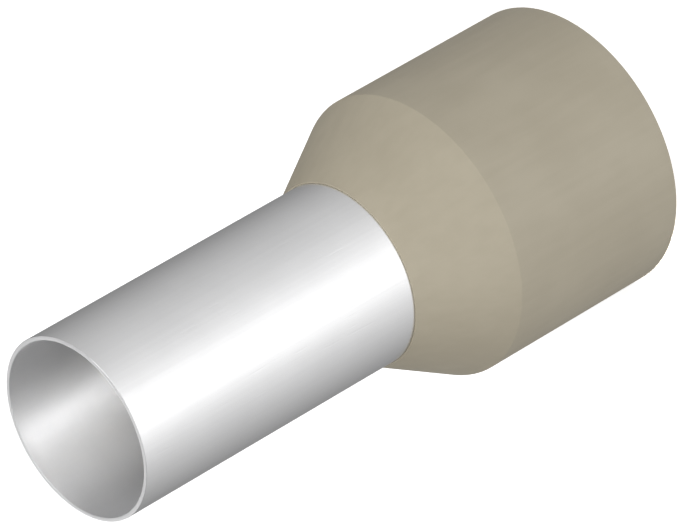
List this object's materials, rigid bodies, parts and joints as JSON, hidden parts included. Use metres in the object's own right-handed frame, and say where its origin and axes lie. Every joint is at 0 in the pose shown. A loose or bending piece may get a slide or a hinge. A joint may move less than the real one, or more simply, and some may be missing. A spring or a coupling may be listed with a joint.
{
  "type": "wire ferrule",
  "caption": "Insulated wire ferrule: a thin tinned copper sleeve in a beige plastic collar with a conical shoulder, crimped on the end of a stranded conductor.",
  "frame": {"origin": "centre of the collar's open end, which is the plane that the ferrule stands on", "axes": "+Z along the ferrule's axis, from the collar's open end to the sleeve's mouth; X and Y are free, because both pieces are round"},
  "size_m": [0.0136, 0.0134, 0.03],
  "materials": {
    "tinned_copper": "satin",
    "moulded_plastic": "satin"
  },
  "bodies": {
    "root": {"sleeve": "tinned_copper", "collar": "moulded_plastic"}
  },
  "joints": []
}
